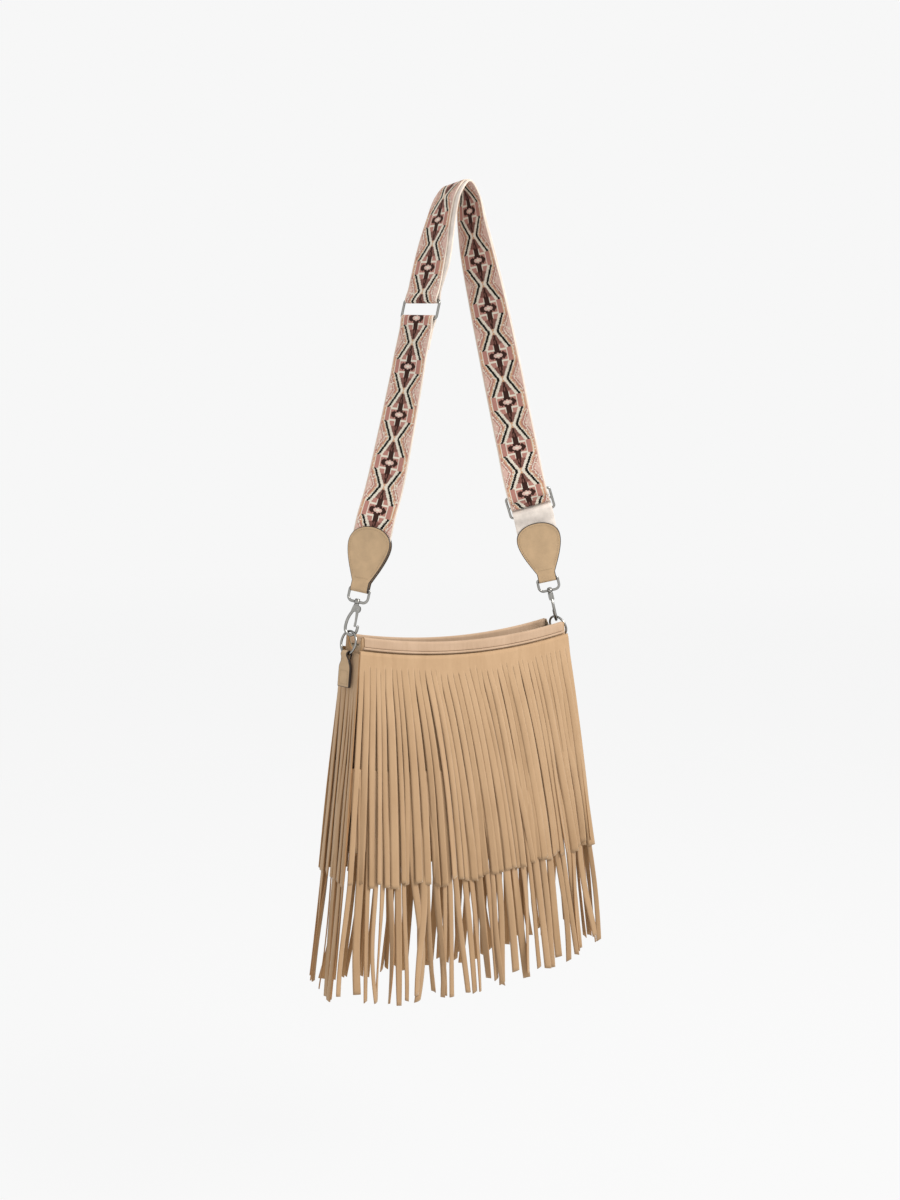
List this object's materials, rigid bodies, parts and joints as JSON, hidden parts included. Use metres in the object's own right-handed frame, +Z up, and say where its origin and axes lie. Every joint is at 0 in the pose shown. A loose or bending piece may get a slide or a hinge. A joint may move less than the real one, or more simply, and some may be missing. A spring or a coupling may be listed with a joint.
{
  "type": "fringed suede shoulder bag",
  "caption": "Open-topped suede bag with two tiers of cut fringe, clipped by swivel snap hooks to a wide adjustable patterned strap.",
  "frame": {"origin": "the underside of the strap where it hangs over its support", "axes": "+Z up, +X along the bag's length towards its right end seen from the front, -Y towards the front"},
  "size_m": [0.3754, 0.0878, 0.9736],
  "materials": {
    "suede": "napped, matte",
    "fringe_suede": "napped, matte",
    "smooth_leather": "fine grain, satin, dark painted edges",
    "lining": "plain weave, matte",
    "webbing": "woven pattern on one side, plain pale back",
    "nickel": "polished nickel, slightly smoky",
    "steel": "bright"
  },
  "bodies": {
    "strap": {"long_webbing": "webbing", "short_webbing": "webbing", "rectangular_ring": "nickel", "tri_glide": "nickel", "left_end_tab": "smooth_leather", "right_end_tab": "smooth_leather"},
    "bag": {"front_panel": "suede", "back_panel": "suede", "left_gusset": "suede", "right_gusset": "suede", "base_panel": "suede", "front_binding": "suede", "back_binding": "suede", "front_piping": "suede", "back_piping": "suede", "front_upper_fringe": "fringe_suede", "front_lower_fringe": "fringe_suede", "back_upper_fringe": "fringe_suede", "back_lower_fringe": "fringe_suede", "left_upper_fringe": "fringe_suede", "left_lower_fringe": "fringe_suede", "right_upper_fringe": "fringe_suede", "right_lower_fringe": "fringe_suede", "front_lining": "lining", "back_lining": "lining", "left_lining": "lining", "right_lining": "lining", "base_lining": "lining", "snap_socket": "nickel", "snap_stud": "nickel", "left_ring_tab": "smooth_leather", "right_ring_tab": "smooth_leather"},
    "left_loop": {"left_hook_loop": "nickel"},
    "left_hook": {"left_hook_body": "nickel", "left_gate_pin": "steel", "left_gate_spring": "steel"},
    "left_gate": {"left_hook_gate": "nickel"},
    "left_ring": {"left_ring": "nickel"},
    "right_loop": {"right_hook_loop": "nickel"},
    "right_hook": {"right_hook_body": "nickel", "right_gate_pin": "steel", "right_gate_spring": "steel"},
    "right_gate": {"right_hook_gate": "nickel"},
    "right_ring": {"right_ring": "nickel"}
  },
  "joints": [
    {"name": "bag_swing", "type": "hinge", "parent": "strap", "child": "bag", "pos_m": [0, -0.002, -0.5227], "axis": [1, 0, 0], "range_deg": [-10, 10]},
    {"name": "left_loop_swing", "type": "hinge", "parent": "strap", "child": "left_loop", "pos_m": [-0.13357, 0, -0.46891], "axis": [-0.5691, 0.809, 0.1472], "range_deg": [0, 3]},
    {"name": "left_swivel", "type": "hinge", "parent": "left_loop", "child": "left_hook", "pos_m": [-0.13745, 0, -0.48392], "axis": [0.2504, 0, 0.9681], "range_deg": [0, 90]},
    {"name": "left_gate_opening", "type": "hinge", "parent": "left_hook", "child": "left_gate", "pos_m": [-0.13765, -0.00167, -0.49264], "axis": [0.6223, 0.766, -0.1609], "range_deg": [0, 18], "stiffness_Nm_per_rad": 0.02, "springref_deg": -22.92},
    {"name": "left_ring_swing", "type": "hinge", "parent": "bag", "child": "left_ring", "pos_m": [-0.1526, -0.00136, -0.544], "axis": [0.2079, -0.9781, 0], "range_deg": [0, 6]},
    {"name": "right_loop_swing", "type": "hinge", "parent": "strap", "child": "right_loop", "pos_m": [0.12964, 0, -0.47019], "axis": [0.8101, -0.5446, 0.2171], "range_deg": [0, 5]},
    {"name": "right_swivel", "type": "hinge", "parent": "right_loop", "child": "right_hook", "pos_m": [0.13365, 0, -0.48516], "axis": [-0.2588, 0, 0.9659], "range_deg": [-90, 2]},
    {"name": "right_gate_opening", "type": "hinge", "parent": "right_hook", "child": "right_gate", "pos_m": [0.13703, 0.0023, -0.49305], "axis": [-0.8529, 0.4695, -0.2285], "range_deg": [0, 18], "stiffness_Nm_per_rad": 0.02, "springref_deg": -22.92},
    {"name": "right_ring_swing", "type": "hinge", "parent": "bag", "child": "right_ring", "pos_m": [0.1526, 0.0021, -0.544], "axis": [-0.2079, 0.9781, 0], "range_deg": [0, 6]}
  ],
  "couplings": [
    {"joint": "left_ring_swing", "follows": "left_loop_swing", "ratio": 1.9},
    {"joint": "right_ring_swing", "follows": "right_loop_swing", "ratio": 1.1}
  ]
}
